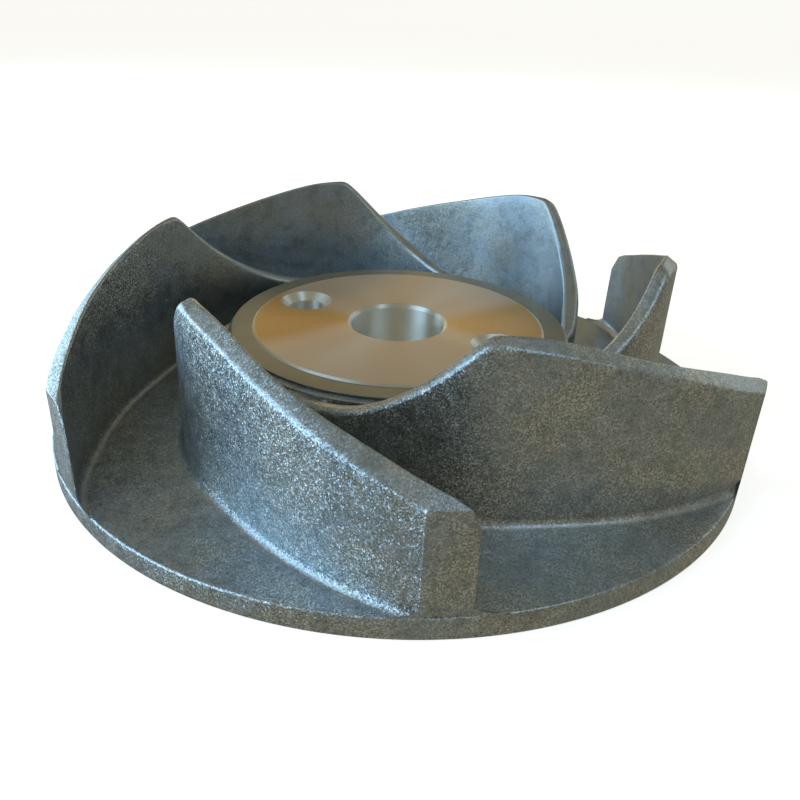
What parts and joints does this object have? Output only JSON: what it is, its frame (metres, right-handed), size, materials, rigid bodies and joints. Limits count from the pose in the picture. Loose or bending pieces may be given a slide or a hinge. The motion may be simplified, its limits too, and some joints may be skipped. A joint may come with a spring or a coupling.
{
  "type": "water pump impeller",
  "caption": "Semi-open radial water pump impeller: one casting with tall swept-back vanes on a round back disc, and a machined hub with a shaft bore and tapped puller holes.",
  "frame": {"origin": "on the shaft axis, on the plane of the flat back of the disc", "axes": "+Z along the shaft axis towards the eye side; the outer end of one vane lies between the -Y and +X axes"},
  "size_m": [0.117, 0.117, 0.0327],
  "materials": {
    "casting": "as-cast grey metal with a fine grain, machined on the hub face, the bore and the countersinks"
  },
  "bodies": {
    "root": {"impeller_casting": "casting"}
  },
  "joints": []
}
